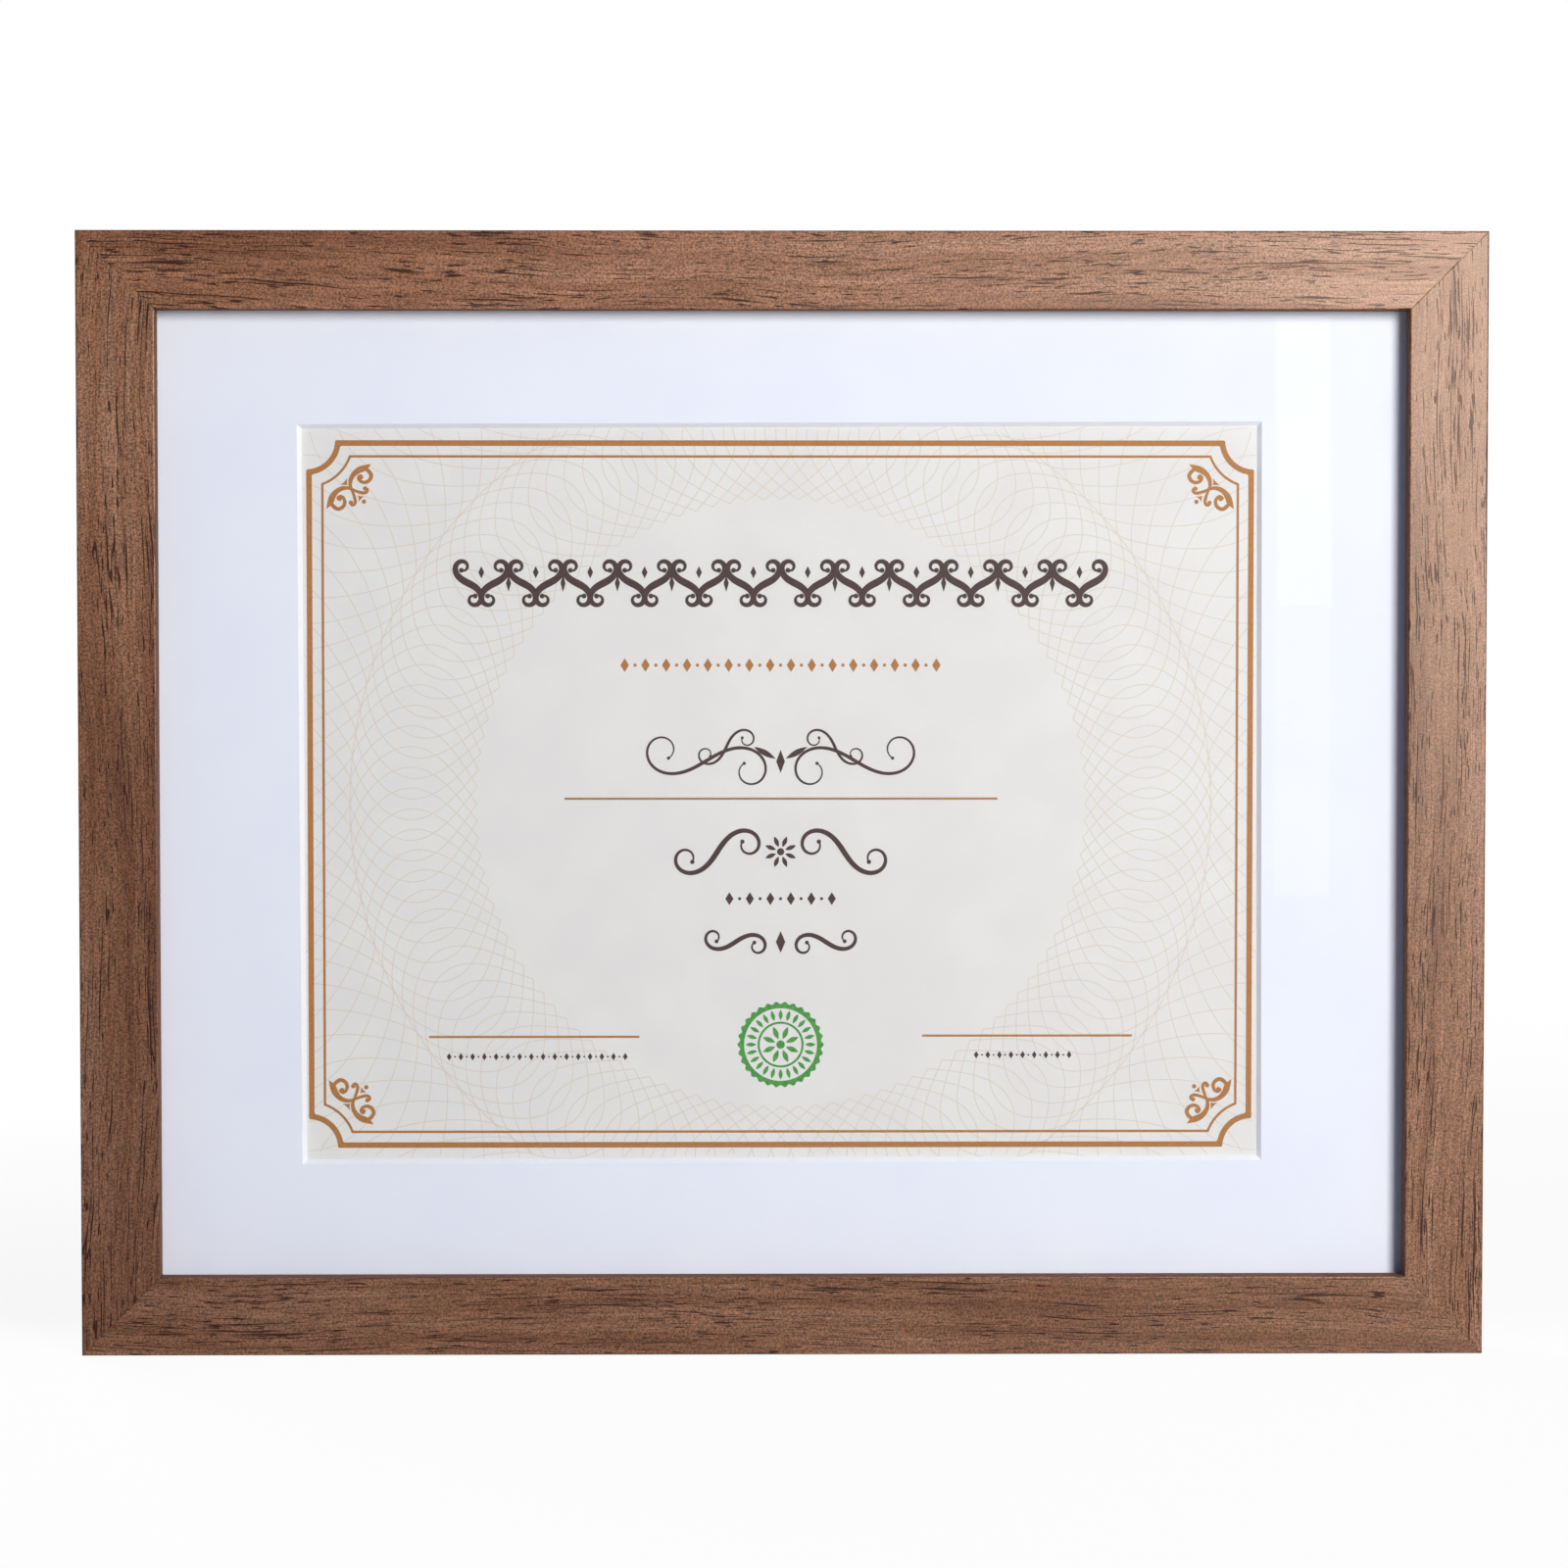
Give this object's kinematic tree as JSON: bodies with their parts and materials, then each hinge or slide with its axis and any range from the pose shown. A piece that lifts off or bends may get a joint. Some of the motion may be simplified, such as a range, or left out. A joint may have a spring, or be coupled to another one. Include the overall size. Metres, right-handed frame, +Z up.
{
  "type": "document frame",
  "caption": "Rectangular wall frame for a document: mitred wood-grain rails, glazing, bevelled mat, backing board held by turn buttons, and sawtooth hangers for landscape or portrait.",
  "frame": {"origin": "the point of the wall plane behind the middle notch of the upper sawtooth hanger, where the wall nail bears", "axes": "+X along the frame's long side, to the right as seen from the front; +Y into the wall, so the front faces -Y; +Z up"},
  "size_m": [0.386, 0.0205, 0.3086],
  "materials": {
    "moulding_long": "satin walnut-look wrap, grain along the rail",
    "moulding_short": "satin walnut-look wrap, grain along the rail",
    "nail_steel": "plain steel strip",
    "glazing": "clear polished sheet",
    "mat_board": "matt smooth white, with a white bevelled core",
    "document": "matt off-white paper with a printed border and guilloche",
    "filler": "kraft corrugated board",
    "backing": "fine-fibred hardboard",
    "button_steel": "bright zinc plate",
    "screw_steel": "bright zinc plate",
    "hanger_steel": "yellow-passivated zinc plate",
    "bumper_rubber": "matt"
  },
  "bodies": {
    "frame": {"rail_top": "moulding_long", "rail_bottom": "moulding_long", "rail_left": "moulding_short", "rail_right": "moulding_short", "corner_nails_top_left": "nail_steel", "corner_nails_top_right": "nail_steel", "corner_nails_bottom_left": "nail_steel", "corner_nails_bottom_right": "nail_steel", "glazing": "glazing", "mat_board": "mat_board", "document_sheet": "document", "filler_board": "filler", "backing_board": "backing", "button_screws": "screw_steel", "hanger_landscape": "hanger_steel", "hanger_portrait": "hanger_steel", "hanger_nails": "hanger_steel", "wall_bumpers": "bumper_rubber"},
    "top_left_button": {"button_top_left": "button_steel"},
    "top_right_button": {"button_top_right": "button_steel"},
    "bottom_left_button": {"button_bottom_left": "button_steel"},
    "bottom_right_button": {"button_bottom_right": "button_steel"},
    "left_upper_button": {"button_left_upper": "button_steel"},
    "left_lower_button": {"button_left_lower": "button_steel"},
    "right_upper_button": {"button_right_upper": "button_steel"},
    "right_lower_button": {"button_right_lower": "button_steel"}
  },
  "joints": [
    {"name": "turn_top_left", "type": "hinge", "parent": "frame", "child": "top_left_button", "pos_m": [-0.09, -0.00292, 0.0031], "axis": [0, 1, 0], "continuous": true},
    {"name": "turn_top_right", "type": "hinge", "parent": "frame", "child": "top_right_button", "pos_m": [0.09, -0.00292, 0.0031], "axis": [0, 1, 0], "continuous": true},
    {"name": "turn_bottom_left", "type": "hinge", "parent": "frame", "child": "bottom_left_button", "pos_m": [-0.09, -0.00292, -0.2913], "axis": [0, 1, 0], "continuous": true},
    {"name": "turn_bottom_right", "type": "hinge", "parent": "frame", "child": "bottom_right_button", "pos_m": [0.09, -0.00292, -0.2913], "axis": [0, 1, 0], "continuous": true},
    {"name": "turn_left_upper", "type": "hinge", "parent": "frame", "child": "left_upper_button", "pos_m": [-0.1859, -0.00292, -0.0821], "axis": [0, 1, 0], "continuous": true},
    {"name": "turn_left_lower", "type": "hinge", "parent": "frame", "child": "left_lower_button", "pos_m": [-0.1859, -0.00292, -0.2061], "axis": [0, 1, 0], "continuous": true},
    {"name": "turn_right_upper", "type": "hinge", "parent": "frame", "child": "right_upper_button", "pos_m": [0.1859, -0.00292, -0.0821], "axis": [0, 1, 0], "continuous": true},
    {"name": "turn_right_lower", "type": "hinge", "parent": "frame", "child": "right_lower_button", "pos_m": [0.1859, -0.00292, -0.2061], "axis": [0, 1, 0], "continuous": true}
  ]
}
